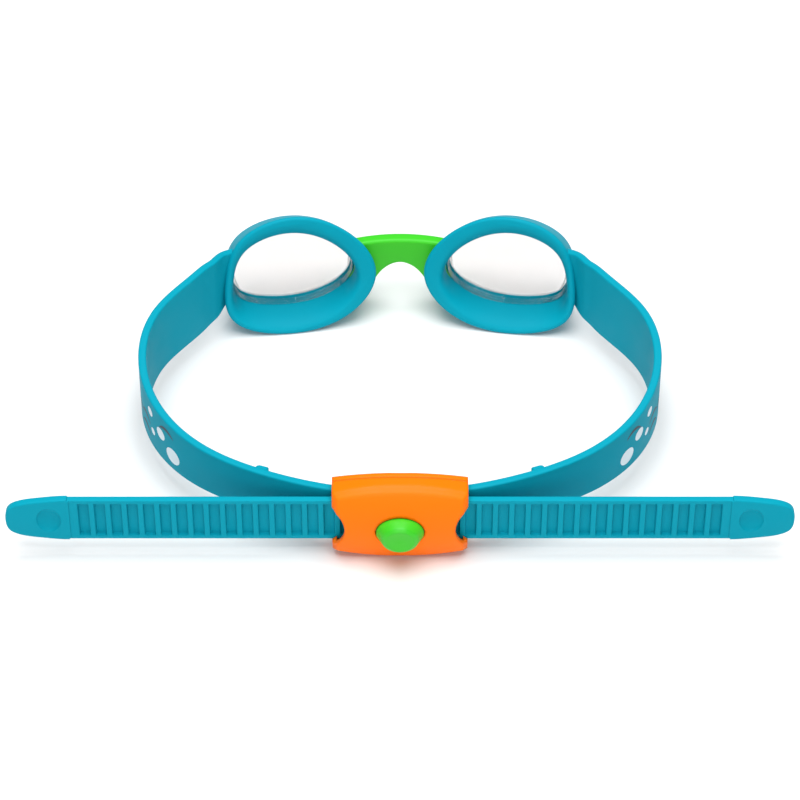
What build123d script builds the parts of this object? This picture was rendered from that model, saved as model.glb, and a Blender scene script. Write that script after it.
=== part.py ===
"""Toddler swim goggles: two silicone eye cups with clear lenses, a soft nose bridge, and a strap
that folds back through a push-button clip behind the head.  Millimetres, +Z up, the lenses face +Y,
the wearer's right is +X, and the goggles stand on the two eye cups and on the foot of the clip."""
from build123d import *
from math import cos, sin, radians
import os

os.makedirs("parts", exist_ok=True)

# ---------------------------------------------------------------- driving dimensions
# overall layout
eye_spacing = 58.0            # between the centres of the two eye cups
loop_length = 97.5            # from the outer face of the tails to the rear edge of the cups
loop_half_width = 72.4        # middle plane to the strap's centre line, at its widest
cup_centre_height = 18.23     # middle of a cup's rear edge above the table
tail_face_y = -52.7           # outer face of the two ladder tails

# eye cup
cup_yaw = 8.0                 # each cup turns round the face by this much
cup_pitch = 15.0              # and leans forward at the top by this much
seal_width = 44.8
seal_height = 37.6
seal_front_width = 41.4
seal_front_height = 28.6
seal_depth = 13.0             # rear edge to the front of the frame
seal_opening_width = 36.1     # opening at the rear edge, against the face
seal_opening_height = 29.2
opening_shift = (-1.7, -1.4)  # the opening sits towards the temple and low in the lip
lens_shift = (-1.5, -0.1)
front_shift = (-0.9, -0.3)
eye_corner_round = 0.24       # rounding of the outline's four corners, as a share of its height
lip_round = 1.6               # rounding of the rear edge
front_round = 1.4             # rounding of the front edge

# lens
lens_width = 37.8
lens_height = 25.2
lens_skirt_depth = 5.0        # the skirt that sits in the silicone
lens_skirt_wall = 1.2
lens_face_thickness = 1.5
lens_window_inset = 1.4       # the front aperture is this much inside the lens edge, all round
lens_crown = 0.7              # how far the window stands proud of the frame
lens_seat_depth = 7.2         # rear edge of the cup to the rear edge of the lens skirt
lens_clearance = 0.05
lens_ledge = 0.9              # the silicone ledge behind the skirt

# nose bridge
bridge_thickness = 3.8
bridge_top = 6.3              # top edge above the cup centre, in the middle
bridge_arch = 2.4             # the arch over the nose starts this far below the cup centre
bridge_end_drop = 10.5        # how far the ends reach below the cup centre
bridge_forward = 10.6         # rear edge of the cups to the middle of the bridge
bridge_bow = 1.4              # the middle of the bridge stands forward of its ends
bridge_end_place = 15.0       # middle plane to the bridge's ends, inside the frames

# strap and ladder tail
strap_thickness = 2.3
strap_join_angle = 47.0       # the strap runs into the temple side of the cup at this angle
strap_lug_reach = 5.2         # moulded stub between the cup and the strap's end
strap_width = 14.0            # ladder tail and the run near the clip
strap_cup_width = 22.2        # where it meets the eye cup
tail_length = 89.7            # middle of the clip to the step of the grip tab
ladder_pitch = 4.42
pocket_count = 18
pocket_length = 3.0
pocket_height = 11.8
pocket_depth = 1.1
pocket_draft = 12.0
first_pocket = 10.3           # middle of the clip to the middle of the innermost pocket
tab_length = 17.0
tab_width = 14.7
dimple_place = 5.3            # step of the tab to the middle of its thumb dimple
dimple_width = 6.6
dimple_height = 8.2
dimple_depth = 0.8
stop_rib_length = 4.2
stop_rib_proud = 1.2
stop_rib_height = 10.0
stop_rib_place = 0.155        # share of the strap's route from the turn bar

# clip
clip_width = 36.7
clip_middle_height = 25.6
clip_end_height = 20.6
clip_crown = 4.8              # front face, in the middle, in front of the tails' outer face
clip_crown_radius = 24.0      # roundness of the front face from top to bottom
clip_plan_radius = 170.0      # the clip follows the back of the head
clip_plan_turn = 20.0         # turn of that curve, a little more than the clip takes
clip_back = 7.6               # rear face, against the head, behind the tails' outer face
clip_parting = 3.6            # the two halves of the housing meet here, behind the same face
clip_wall = 1.2
clip_back_wall = 2.2          # side wall of the rear half, under its large rounding
clip_front_bevel = 1.3
clip_back_bevel = 2.4
clip_foot_width = 6.0         # the small flats in the middle of the clip's top and underside
scallop_depth = 3.4
scallop_radius = 7.9
guide_wall = 1.2              # ribs beside the straps, which also hold the turn bars
guide_start = 3.2             # middle of the clip to the inner ends of the ribs
slot_clearance = 0.3

# turn bars, pawls, button and spring
bar_radius = 0.8
bar_clearance = 0.05
bar_place = 6.0               # middle of the clip to a turn bar
pin_radius = 0.6
pin_place = 6.4               # middle of the clip to a pawl pin
pin_standoff = 1.5            # pawl pin in front of the tails' outer face
pin_clearance = 0.04
pawl_width = 6.4              # along the pin
pawl_hub_radius = 1.25
pawl_arm_thickness = 0.9
pawl_inner_reach = 3.75       # pin to the nose under the button
pawl_nose_radius = 0.35
pawl_nose_rise = 0.27         # centre of the nose above the pin's axis
pawl_arm_drop = 0.1           # top of the inner arm above the pin's axis
pawl_tooth_length = 1.8
pawl_tooth_start = 2.7        # pin to the tooth
pawl_tooth_ramp = 0.6         # lets the tail slide outwards over the tooth
pawl_back_drop = 0.3          # top of the outer arm's end above the pin's axis
pawl_tooth_depth = 0.65       # how far the tooth reaches into a pocket
lug_wall = 1.2
lug_gap = 0.5                 # pawl to the lugs at its two ends
lug_half_length = 1.2
lug_gap_back = 0.2            # lugs to the tails' outer face
button_radius = 6.45
button_clearance = 0.2
button_height = 3.8           # above the clip's front face
button_top_radius = 4.9
button_top_bevel = 0.8
button_dish = 0.35
button_boss_radius = 4.5
button_rim = 0.6              # straight rim of the button inside the clip's wall
ear_width = 4.0               # two ears keep the button in the housing
ear_reach = 8.2
ear_thickness = 0.8
spring_radius = 1.8
spring_wire = 0.45
spring_pitch = 2.7
spring_top = 4.8              # spring's outer end in front of the tails' outer face
spring_pocket_clearance = 0.25
spring_peg_radius = 1.15
spring_peg_height = 1.8
contact_gap = 0.05

# ---------------------------------------------------------------- places worked out from them
half_clip = clip_width / 2
clip_bow = (clip_middle_height - clip_end_height) / 2
clip_bow_radius = (half_clip**2 + clip_bow**2) / (2 * clip_bow)
foot_rise = clip_bow_radius - (clip_bow_radius**2 - (clip_foot_width / 2) ** 2) ** 0.5
clip_centre_height = clip_middle_height / 2 - foot_rise

yaw = radians(cup_yaw)
lean = radians(cup_pitch)
cup_centre = Vector(-eye_spacing / 2, tail_face_y + loop_length, cup_centre_height)
cup_across = Vector(cos(yaw), sin(yaw), 0)
cup_plane = Plane(
    origin=cup_centre,
    x_dir=cup_across,
    z_dir=(sin(yaw) * cos(lean), -cos(yaw) * cos(lean), sin(lean)),
)
temple_edge = cup_centre - cup_across * (seal_width / 2)
join_direction = Vector(cos(radians(strap_join_angle)), sin(radians(strap_join_angle)), 0)
strap_join = temple_edge - join_direction * strap_lug_reach
clip_centre = Vector(0, tail_face_y, clip_centre_height)
front_plane = Plane(origin=clip_centre, x_dir=(1, 0, 0), z_dir=(0, -1, 0))    # the tails' outer face
clip_plane = Plane.XY.offset(clip_centre_height)                             # the clip's mid height

bar_y = tail_face_y + strap_thickness + bar_clearance + bar_radius
fold_radius = bar_radius + bar_clearance + strap_thickness / 2
pin_y = tail_face_y - pin_standoff


# ---------------------------------------------------------------- eye cups
def eye_section(depth, width, height, shift=(0, 0)):
    """The eye's outline on a plane this deep in the cup: four arcs with rounded corners between them,
    blunt at the temple and drawn in at the nose."""
    corners = [(-0.382, 0.351), (0.411, 0.226), (0.384, -0.316), (-0.463, -0.383)]
    crowns = [(0.132, 0.469), (0.483, -0.141), (-0.149, -0.506), (-0.494, 0.038)]
    with BuildSketch(cup_plane.offset(-depth)) as section:
        with BuildLine():
            for start, crown, end in zip(corners, crowns, corners[1:] + corners[:1]):
                ThreePointArc(
                    *(
                        (x * width + shift[0], y * height + shift[1])
                        for x, y in (start, crown, end)
                    )
                )
        make_face()
        fillet(vertices(), radius=eye_corner_round * height)
    return section.sketch


def cup_section(depth, inset=0.0):
    """The outside of the cup at this depth: it tapers from the rear edge to the frame."""
    share = depth / seal_depth
    return eye_section(
        depth,
        seal_width + (seal_front_width - seal_width) * share - 2 * inset,
        seal_height + (seal_front_height - seal_height) * share - 2 * inset,
        (front_shift[0] * share, front_shift[1] * share),
    )


def lens_section(depth, inset=0.0):
    """The lens outline, drawn in by an inset all round."""
    return eye_section(depth, lens_width - 2 * inset, lens_height - 2 * inset, lens_shift)


lens_front_depth = lens_seat_depth + lens_skirt_depth

# The lens: a shallow clear moulding, a window with a skirt that stands in the silicone.
with BuildPart() as left_lens:
    extrude(lens_section(lens_seat_depth, lens_clearance), amount=-lens_skirt_depth)
    extrude(
        lens_section(lens_seat_depth, lens_clearance + lens_skirt_wall),
        amount=lens_face_thickness - lens_skirt_depth,
        mode=Mode.SUBTRACT,
    )
    extrude(
        lens_section(lens_front_depth, lens_window_inset + lens_clearance),
        amount=lens_front_depth - seal_depth - lens_crown,
    )
    window_rim = faces().sort_by(Axis(cup_plane.origin, -cup_plane.z_dir))[-1]
    chamfer(window_rim.edges(), length=lens_crown * 0.6)
left_lens.part.label = "left_lens"


# The soft cup: it tapers from the face to the frame, and carries a lug for the strap.
with BuildPart() as eye_form:
    loft(
        [
            cup_section(0, lip_round),
            cup_section(0.13 * lip_round, 0.50 * lip_round),
            cup_section(0.50 * lip_round, 0.13 * lip_round),
            cup_section(lip_round),
            cup_section(seal_depth - front_round),
            cup_section(seal_depth - 0.3 * front_round, 0.3 * front_round),
            cup_section(seal_depth, front_round),
        ],
        ruled=True,
    )

with BuildPart() as eye_hollow:
    loft(
        [
            eye_section(0, seal_opening_width, seal_opening_height, opening_shift),
            lens_section(lens_seat_depth, lens_ledge),
        ]
    )
    extrude(lens_section(lens_seat_depth), amount=-lens_skirt_depth)
    extrude(lens_section(lens_front_depth, lens_window_inset), amount=-lens_skirt_depth)

# The lug leaves the temple side of the cup, and meets the strap's end face.
lug_forward = Vector(-sin(yaw), cos(yaw), 0)
lug_side = Vector(-join_direction.Y, join_direction.X, 0) * (strap_thickness / 2)
lug_depth = 2 * strap_thickness
with BuildPart() as strap_lug:
    with BuildSketch(Plane.XY.offset(cup_centre_height)):
        with BuildLine():
            outer = Spline(
                strap_join + lug_side,
                temple_edge + lug_forward * lug_depth + cup_across * lip_round / 2,
                tangents=(join_direction, lug_forward),
            )
            inner = Spline(
                strap_join - lug_side,
                temple_edge + lug_forward * lip_round / 2 + cup_across * lip_round,
                tangents=(join_direction, cup_across + lug_forward),
            )
            Line(outer @ 0, inner @ 0)
            Polyline(
                outer @ 1,
                (outer @ 1) + cup_across * 2 * lug_depth,
                (inner @ 1) + cup_across * 2 * lug_depth,
                inner @ 1,
            )
        make_face()
    extrude(amount=strap_cup_width / 2, both=True)
    extrude(eye_section(0, seal_width, seal_height), amount=lug_depth, mode=Mode.SUBTRACT)

with BuildPart() as left_eye_seal:
    add(eye_form.part)
    add(strap_lug.part)
    add(eye_hollow.part, mode=Mode.SUBTRACT)
left_eye_seal.part.label = "left_eye_seal"

# ---------------------------------------------------------------- nose bridge
bridge_y = tail_face_y + loop_length + bridge_forward
with BuildPart() as nose_bridge:
    with BuildSketch(Plane.XY):
        with BuildLine():
            ThreePointArc(
                (-bridge_end_place, bridge_y - bridge_bow),
                (0, bridge_y),
                (bridge_end_place, bridge_y - bridge_bow),
            )
        trace(line_width=bridge_thickness)
    extrude(amount=2 * cup_centre_height)
    with BuildSketch(Plane.XZ.offset(-bridge_y)):
        with BuildLine():
            arch_foot = bridge_arch + (bridge_end_drop - bridge_arch) * 0.25
            foot = cup_centre_height - bridge_end_drop
            shoulder = cup_centre_height + bridge_top * 0.85
            arch = Spline(
                (-0.57 * bridge_end_place, foot),
                (-0.30 * bridge_end_place, cup_centre_height - arch_foot),
                (0, cup_centre_height - bridge_arch),
                (0.30 * bridge_end_place, cup_centre_height - arch_foot),
                (0.57 * bridge_end_place, foot),
            )
            brow = ThreePointArc(
                (-bridge_end_place, shoulder),
                (0, cup_centre_height + bridge_top),
                (bridge_end_place, shoulder),
            )
            Polyline(arch @ 1, (bridge_end_place, foot), brow @ 1)
            Polyline(arch @ 0, (-bridge_end_place, foot), brow @ 0)
        make_face()
    extrude(amount=2 * bridge_thickness, both=True, mode=Mode.INTERSECT)
    add(eye_form.part, mode=Mode.SUBTRACT)
    add(mirror(eye_form.part, about=Plane.YZ, mode=Mode.PRIVATE), mode=Mode.SUBTRACT)
nose_bridge.part.label = "nose_bridge"

# ---------------------------------------------------------------- strap
# The strap leaves the tail at the turn bar, folds back round it and runs round the head to the cup,
# growing wider and rising from the clip's height to the cup's.
with BuildLine(Plane.XY) as strap_route:
    fold = CenterArc((-bar_place, bar_y), fold_radius, -90, 180)
    run_start = Line(fold @ 1, (fold @ 1) - Vector(1.2 * bar_place, 0))
    Spline(
        run_start @ 1,
        (-0.297 * loop_half_width, tail_face_y + 0.065 * loop_length),
        (-0.526 * loop_half_width, tail_face_y + 0.119 * loop_length),
        (-0.745 * loop_half_width, tail_face_y + 0.206 * loop_length),
        (-0.900 * loop_half_width, tail_face_y + 0.327 * loop_length),
        (-1.000 * loop_half_width, tail_face_y + 0.564 * loop_length),
        (-0.953 * loop_half_width, tail_face_y + 0.732 * loop_length),
        (-0.803 * loop_half_width, tail_face_y + 0.891 * loop_length),
        (strap_join.X, strap_join.Y),
        tangents=((-1, 0, 0), join_direction),
    )

strap_rise = cup_centre_height - clip_centre_height
strap_growth = strap_cup_width - strap_width


def strap_edge(side):
    """The upper (+1) or lower (-1) edge of the strap in side view."""
    shares = [(0.00, 0.00), (0.19, 0.17), (0.40, 0.48), (0.68, 0.93), (0.80, 1.00), (1.00, 0.98)]
    return [
        (
            tail_face_y + strap_thickness + loop_length * along,
            clip_centre_height
            + strap_rise * along
            + side * (strap_width + strap_growth * share) / 2,
        )
        for along, share in shares
    ]


with BuildPart() as left_strap:
    with BuildSketch(Plane.XY):
        trace(strap_route.line, line_width=strap_thickness)
    extrude(amount=2 * cup_centre_height)
    with BuildSketch(Plane.YZ):
        with BuildLine():
            top = Spline(strap_edge(1), tangents=((1, 0), (1, 0)))
            bottom = Spline(strap_edge(-1), tangents=((1, 0), (1, 0)))
            Polyline(
                top @ 0,
                (tail_face_y - strap_thickness, clip_centre_height + strap_width / 2),
                (tail_face_y - strap_thickness, clip_centre_height - strap_width / 2),
                bottom @ 0,
            )
            Line(top @ 1, bottom @ 1)
        make_face()
    extrude(amount=2 * loop_half_width, both=True, mode=Mode.INTERSECT)
    rib_start = strap_route.wire() @ stop_rib_place
    rib_plane = Plane(
        origin=(rib_start.X, rib_start.Y, clip_centre_height + strap_rise * 0.1),
        x_dir=strap_route.wire() % stop_rib_place,
        z_dir=(0, 0, 1),
    )
    with BuildSketch(rib_plane):
        with BuildLine():
            Polyline(
                (0, 0),
                (0.1 * stop_rib_length, -strap_thickness / 2 - stop_rib_proud),
                (0.3 * stop_rib_length, -strap_thickness / 2 - stop_rib_proud),
                (stop_rib_length, -strap_thickness / 2),
                (stop_rib_length, 0),
                close=True,
            )
        make_face()
    extrude(amount=stop_rib_height / 2, both=True)
left_strap.part.label = "left_strap"

# ---------------------------------------------------------------- ladder tail
with BuildPart() as left_ladder_tail:
    with BuildSketch(front_plane):
        with Locations((-bar_place, 0)):
            Rectangle(tail_length - bar_place, strap_width, align=(Align.MAX, Align.CENTER))
        with BuildLine():
            side = Spline(
                (-tail_length, tab_width / 2),
                (-tail_length - 0.43 * tab_length, 0.435 * tab_width),
                (-tail_length - 0.76 * tab_length, 0.320 * tab_width),
                (-tail_length - tab_length, 0),
                tangents=((-1, 0), (0, -1)),
            )
            mirror(side, about=Plane.XZ)
            Line((-tail_length, tab_width / 2), (-tail_length, -tab_width / 2))
        make_face()
    extrude(amount=-strap_thickness)
    with BuildSketch(front_plane):
        with Locations((-first_pocket - ladder_pitch * (pocket_count - 1) / 2, 0)):
            with GridLocations(ladder_pitch, 1, pocket_count, 1):
                Rectangle(pocket_length, pocket_height)
    extrude(amount=-pocket_depth, taper=pocket_draft, mode=Mode.SUBTRACT)
    for depth in (0, dimple_depth):
        with BuildSketch(front_plane.offset(-depth)):
            with Locations((-tail_length - dimple_place, 0)):
                Ellipse(dimple_width / 2 - depth, dimple_height / 2 - depth)
    loft(mode=Mode.SUBTRACT)
left_ladder_tail.part.label = "left_ladder_tail"

# ---------------------------------------------------------------- clip housing
head_centre = Vector(0, tail_face_y + clip_plan_radius, clip_centre_height)
head_axis = Axis(head_centre, (0, 0, 1))
head_turn = radians(clip_plan_turn / 2)
head_plane = Plane(
    origin=head_centre,
    x_dir=(-sin(head_turn), -cos(head_turn), 0),
    z_dir=(-cos(head_turn), sin(head_turn), 0),
)
clip_reach = clip_middle_height / 2 + clip_wall
clip_sag = clip_crown_radius - (clip_crown_radius**2 - clip_reach**2) ** 0.5
slot_height = strap_width + 2 * slot_clearance
bar_half_length = slot_height / 2 + 0.8 * guide_wall


def clip_form(inset, back):
    """The clip's form drawn in all round by an inset, up to a distance behind the tails' face."""
    with BuildPart() as form:
        with BuildSketch(head_plane):
            with BuildLine():
                crest = clip_plan_radius + clip_crown - inset
                crown = Bezier(
                    (crest - clip_sag, -clip_reach),
                    (crest + clip_sag, 0),
                    (crest - clip_sag, clip_reach),
                )
                Polyline(
                    crown @ 1,
                    (clip_plan_radius - back, clip_reach),
                    (clip_plan_radius - back, -clip_reach),
                    crown @ 0,
                )
            make_face()
        revolve(axis=head_axis, revolution_arc=clip_plan_turn)
        with BuildSketch(front_plane):
            Rectangle(clip_width - 2 * inset, 2 * (clip_centre_height - inset))
            for side in (-1, 1):
                with Locations((0, side * (clip_middle_height / 2 - clip_bow_radius))):
                    Circle(clip_bow_radius - inset, mode=Mode.INTERSECT)
        extrude(amount=2 * clip_back, both=True, mode=Mode.INTERSECT)
    return form.part


with BuildPart() as housing:
    add(clip_form(0, clip_back))
    chamfer(faces().sort_by(Axis.Y)[0].edges(), length=clip_front_bevel)
    chamfer(faces().sort_by(Axis.Y)[-1].edges(), length=clip_back_bevel)

with BuildPart() as guides:
    with BuildSketch(front_plane):
        with GridLocations(half_clip + guide_start, slot_height + guide_wall, 2, 2):
            Rectangle(half_clip - guide_start, guide_wall)
    extrude(amount=2 * clip_back, both=True)

with BuildPart() as bar_holes:
    with BuildSketch(clip_plane):
        with Locations((-bar_place, bar_y), (bar_place, bar_y)):
            Circle(bar_radius)
    extrude(amount=bar_half_length, both=True)

with BuildPart() as strap_slots:
    with BuildSketch(clip_plane):
        with Locations((0, tail_face_y - slot_clearance)):
            Rectangle(2 * clip_width, 2 * clip_back, align=(Align.CENTER, Align.MIN))
    extrude(amount=slot_height / 2, both=True)
    add(clip_form(-clip_wall, clip_back - clip_wall), mode=Mode.INTERSECT)

pin_half_length = pawl_width / 2 + lug_gap + lug_wall
with BuildPart() as clip_cover:
    add(housing.part)
    add(clip_form(clip_wall, clip_back + clip_wall), mode=Mode.SUBTRACT)
    add(guides.part.intersect(clip_form(clip_wall / 2, clip_back - clip_wall)))
    add(clip_form(-clip_wall, clip_parting), mode=Mode.INTERSECT)
    # two pairs of lugs carry the pawl pins
    with BuildSketch(front_plane.offset(lug_gap_back)):
        with GridLocations(2 * pin_place, 2 * pin_half_length - lug_wall, 2, 2):
            Rectangle(2 * lug_half_length, lug_wall)
    extrude(amount=clip_crown - clip_wall)
    with BuildSketch(clip_plane):
        with Locations((-pin_place, pin_y), (pin_place, pin_y)):
            Circle(pin_radius)
    extrude(amount=pin_half_length, both=True, mode=Mode.SUBTRACT)
    # the button's hole, and a thumb scallop at each end over the tail
    with BuildSketch(front_plane.offset(clip_crown / 2)):
        Circle(button_radius + button_clearance)
    extrude(amount=2 * clip_crown, mode=Mode.SUBTRACT)
    with BuildSketch(front_plane):
        with GridLocations(clip_width - 2 * scallop_depth + 2 * scallop_radius, 1, 2, 1):
            Circle(scallop_radius)
    extrude(amount=2 * clip_crown, mode=Mode.SUBTRACT)
    add(bar_holes.part, mode=Mode.SUBTRACT)
    add(strap_slots.part, mode=Mode.SUBTRACT)
clip_cover.part.label = "clip_cover"

with BuildPart() as clip_back_plate:
    add(housing.part)
    add(clip_form(clip_back_wall, clip_back - clip_wall), mode=Mode.SUBTRACT)
    add(guides.part.intersect(clip_form(clip_back_wall / 2, clip_back - clip_wall / 2)))
    add(clip_form(-clip_wall, clip_parting), mode=Mode.SUBTRACT)
    # a peg keeps the spring in place
    with BuildSketch(front_plane.offset(clip_wall / 2 - clip_back)):
        Circle(spring_peg_radius)
    extrude(amount=clip_wall / 2 + spring_peg_height)
    add(bar_holes.part, mode=Mode.SUBTRACT)
    add(strap_slots.part, mode=Mode.SUBTRACT)
clip_back_plate.part.label = "clip_back_plate"

with BuildPart() as left_turn_bar:
    with BuildSketch(clip_plane):
        with Locations((-bar_place, bar_y)):
            Circle(bar_radius)
    extrude(amount=bar_half_length, both=True)
left_turn_bar.part.label = "left_turn_bar"

# ---------------------------------------------------------------- pawls and their pins
# Each pawl rocks on its pin: the nose lies under the button, the tooth stands in a pocket of the tail.
pawl_plane = Plane(
    origin=(-pin_place, pin_y, clip_centre_height),
    x_dir=(-1, 0, 0),
    z_dir=(0, 0, -1),
)
with BuildPart() as left_pawl:
    with BuildSketch(pawl_plane):
        Circle(pawl_hub_radius)
        with Locations((-pawl_inner_reach, -pawl_nose_rise)):
            Circle(pawl_nose_radius)
        with Locations((0, -pawl_arm_drop)):
            Rectangle(
                pawl_inner_reach + pawl_nose_radius,
                pawl_arm_thickness,
                align=(Align.MAX, Align.MIN),
            )
        with BuildLine():
            tooth_end = pawl_tooth_start + pawl_tooth_length
            tooth_tip = pin_standoff + pawl_tooth_depth
            arm_back = pin_standoff - slot_clearance
            Polyline(
                (0, -0.95 * pawl_hub_radius),
                (tooth_end, -pawl_back_drop),
                (tooth_end, tooth_tip),
                (pawl_tooth_start + pawl_tooth_ramp, tooth_tip),
                (pawl_tooth_start, arm_back),
                (0, arm_back),
                close=True,
            )
        make_face()
        Circle(pin_radius + pin_clearance, mode=Mode.SUBTRACT)
    extrude(amount=pawl_width / 2, both=True)
left_pawl.part.label = "left_pawl"

with BuildPart() as left_pawl_pin:
    with BuildSketch(pawl_plane):
        Circle(pin_radius)
    extrude(amount=pin_half_length, both=True)
left_pawl_pin.part.label = "left_pawl_pin"

# ---------------------------------------------------------------- button and spring
boss_face = pin_y - pawl_nose_rise - pawl_nose_radius - contact_gap
rim_back = tail_face_y - clip_crown + button_rim
button_top = tail_face_y - clip_crown - button_height
spring_end = tail_face_y - spring_top
spring_pocket_radius = spring_radius + spring_wire / 2 + spring_pocket_clearance
with BuildPart() as push_button:
    with BuildSketch(clip_plane):
        with BuildLine():
            dish = TangentArc(
                (0, button_top + button_dish), (button_top_radius, button_top), tangent=(1, 0)
            )
            Polyline(
                dish @ 1,
                (button_radius, tail_face_y - clip_crown - button_rim / 2),
                (button_radius, rim_back),
                (button_boss_radius, rim_back),
                (button_boss_radius, boss_face),
                (spring_pocket_radius, boss_face),
                (spring_pocket_radius, spring_end),
                (0, spring_end),
                dish @ 0,
            )
        make_face()
    revolve(axis=Axis(clip_centre, (0, 1, 0)))
    chamfer(edges().group_by(Axis.Y)[0], length=button_top_bevel)
    # two ears reach under the clip's wall
    ear_root = spring_pocket_radius + (button_boss_radius - spring_pocket_radius) / 3
    ear_front = clip_crown - clip_wall - clip_sag * (ear_reach / clip_reach) ** 2 - contact_gap
    with BuildSketch(front_plane.offset(ear_front)):
        for side in (-1, 1):
            with Locations((0, side * (ear_root + ear_reach) / 2)):
                Rectangle(ear_width, ear_reach - ear_root)
    extrude(amount=-ear_thickness)
    stem_reach = (button_radius**2 - (ear_width / 2) ** 2) ** 0.5
    with BuildSketch(front_plane.offset(ear_front - ear_thickness)):
        for side in (-1, 1):
            with Locations((0, side * (ear_root + stem_reach) / 2)):
                Rectangle(ear_width, stem_reach - ear_root)
    extrude(amount=clip_crown - ear_front - button_rim / 2)
push_button.part.label = "push_button"

with BuildPart() as button_spring:
    with BuildLine():
        coil = Helix(
            pitch=spring_pitch,
            height=spring_top + clip_back - clip_wall - spring_wire,
            radius=spring_radius,
            center=(0, spring_end + spring_wire / 2, clip_centre_height),
            direction=(0, 1, 0),
        )
    with BuildSketch(Plane(origin=coil @ 0, z_dir=coil % 0)):
        RegularPolygon(spring_wire / 2, 4)
    sweep()
button_spring.part.label = "button_spring"

# ---------------------------------------------------------------- the pieces, left and right
for piece in (
    left_lens,
    left_eye_seal,
    left_strap,
    left_ladder_tail,
    left_turn_bar,
    left_pawl,
    left_pawl_pin,
):
    with BuildPart() as twin:
        mirror(piece.part, about=Plane.YZ)
    twin.part.label = piece.part.label.replace("left", "right")
    export_step(piece.part, f"parts/{piece.part.label}.step")
    export_step(twin.part, f"parts/{twin.part.label}.step")

for piece in (nose_bridge, clip_cover, clip_back_plate, push_button, button_spring):
    export_step(piece.part, f"parts/{piece.part.label}.step")
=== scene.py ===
"""Toddler swim goggles: soft turquoise cups and straps, clear lenses, a green nose bridge, and an orange
clip with a green push button.  The lenses, the pawls, the pins and the clip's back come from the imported
model.  The silicone, the spring and the print are made here, and so is the oval of the button and its hole.
The lenses face +Y, the tails and the clip lie at -Y, and the wearer's left is at -X."""

from math import cos, sin, pi, radians

import bmesh
import bpy
import numpy as np
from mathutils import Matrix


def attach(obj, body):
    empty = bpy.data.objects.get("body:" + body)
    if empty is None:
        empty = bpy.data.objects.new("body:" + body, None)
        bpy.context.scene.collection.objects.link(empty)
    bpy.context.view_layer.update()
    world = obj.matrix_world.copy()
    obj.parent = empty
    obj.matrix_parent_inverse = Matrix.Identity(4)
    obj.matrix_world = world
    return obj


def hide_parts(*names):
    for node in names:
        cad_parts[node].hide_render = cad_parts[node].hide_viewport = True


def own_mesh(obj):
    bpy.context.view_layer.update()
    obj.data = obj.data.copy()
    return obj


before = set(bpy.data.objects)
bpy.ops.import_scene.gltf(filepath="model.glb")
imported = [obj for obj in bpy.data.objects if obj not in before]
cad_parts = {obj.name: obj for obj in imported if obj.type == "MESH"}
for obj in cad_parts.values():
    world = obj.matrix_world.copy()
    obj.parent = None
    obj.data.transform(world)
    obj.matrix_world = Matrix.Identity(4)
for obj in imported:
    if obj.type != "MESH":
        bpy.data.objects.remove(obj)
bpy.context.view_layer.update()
MM = 0.001

# ---------------------------------------------------------------- sizes, in millimetres
# loop
TAIL_FACE_Y = -52.7           # outer face of the ladder tails
CLIP_HEIGHT = 12.734          # the clip's middle above the table
CUP_HEIGHT = 18.23            # middle of a cup's rear edge above the table
LOOP_LENGTH = 97.5            # from the tails' outer face to the cups' rear edge
LOOP_HALF_WIDTH = 72.4
EYE_SPACING = 58.0

# eye cups and lenses; a size is (across, up), and a depth is counted from the rear edge
CUP_YAW = radians(8)
CUP_LEAN = radians(15)
CUP_REAR = (44.8, 37.6)       # rear edge, against the face
CUP_FRONT = (41.4, 28.6)
FRONT_SHIFT = (-0.9, -0.3)    # the front edge's middle from the rear edge's
CUP_DEPTH = 13.0
CUP_WALL_DEPTHS = (4.5, 7.0, 9.5)   # rings between the rounded edges
CUP_OPENING = (36.1, 29.2)
OPENING_SHIFT = (-1.7, -1.4)
LIP_ROLL = 3.4                # how deep the rolled lip reaches, and how wide it is on each side
LIP_SIDE = 1.6
LIP_TOP = 3.0
LIP_BOTTOM = 1.4
LIP_ROUND = 1.2               # radii of the outer edges, rear and front
FRONT_ROUND = 1.5
LENS_SIZE = (37.8, 25.2)
LENS_SHIFT = (-1.5, -0.1)
LENS_SEAT = (7.2, 12.2)       # depths between which the lens skirt stands
LENS_LEDGE = 0.9              # how far the cup reaches over the skirt, behind the lens and in front
LENS_INSET = 1.4
SQUARE_STEP = 0.01            # length over which a square step is drawn
CUP_OVERRUN = 2.0             # how far a cutter passes the face that it opens

# strap
STRAP_THICKNESS = 2.3
STRAP_WIDTH = 14.0
STRAP_CUP_WIDTH = 22.2
STRAP_EDGE = 0.6              # radius of its long edges
STRAP_JOIN_ANGLE = radians(47)
STRAP_LUG_REACH = 5.2         # strap's end behind the cup's temple edge, and outside it
STRAP_LUG_OUTSET = 0.5
LUG_MIDDLE = (2.7, 0.1)       # the lug's way into the cup wall: in front of the temple edge, and inside it
LUG_END = (5.6, 4.6)
STRAP_TAPER = 0.0012          # the strap gets lower over its last stretch, with the square of the length
STRAP_TAPER_LENGTH = 6.0
CUP_CLEARANCE = 0.6           # the strap is trimmed this far inside the cup's rear edge
TRIM_LENGTH = 12.0
BAR_PLACE = 6.0               # middle of the clip to the bar that the strap folds round
FOLD_RADIUS = 2.0
FOLD_STRAIGHT = 1.2 * BAR_PLACE

# stop rib on the head side of the strap, near the clip
STOP_SHARE = 0.243            # place along the strap
STOP_LENGTH = 4.2
STOP_PROUD = 1.7
STOP_HALF_HEIGHT = 6.7
STOP_EDGE = 0.4
STOP_ROOT = 0.3               # how far from the strap's middle the rib starts

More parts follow.
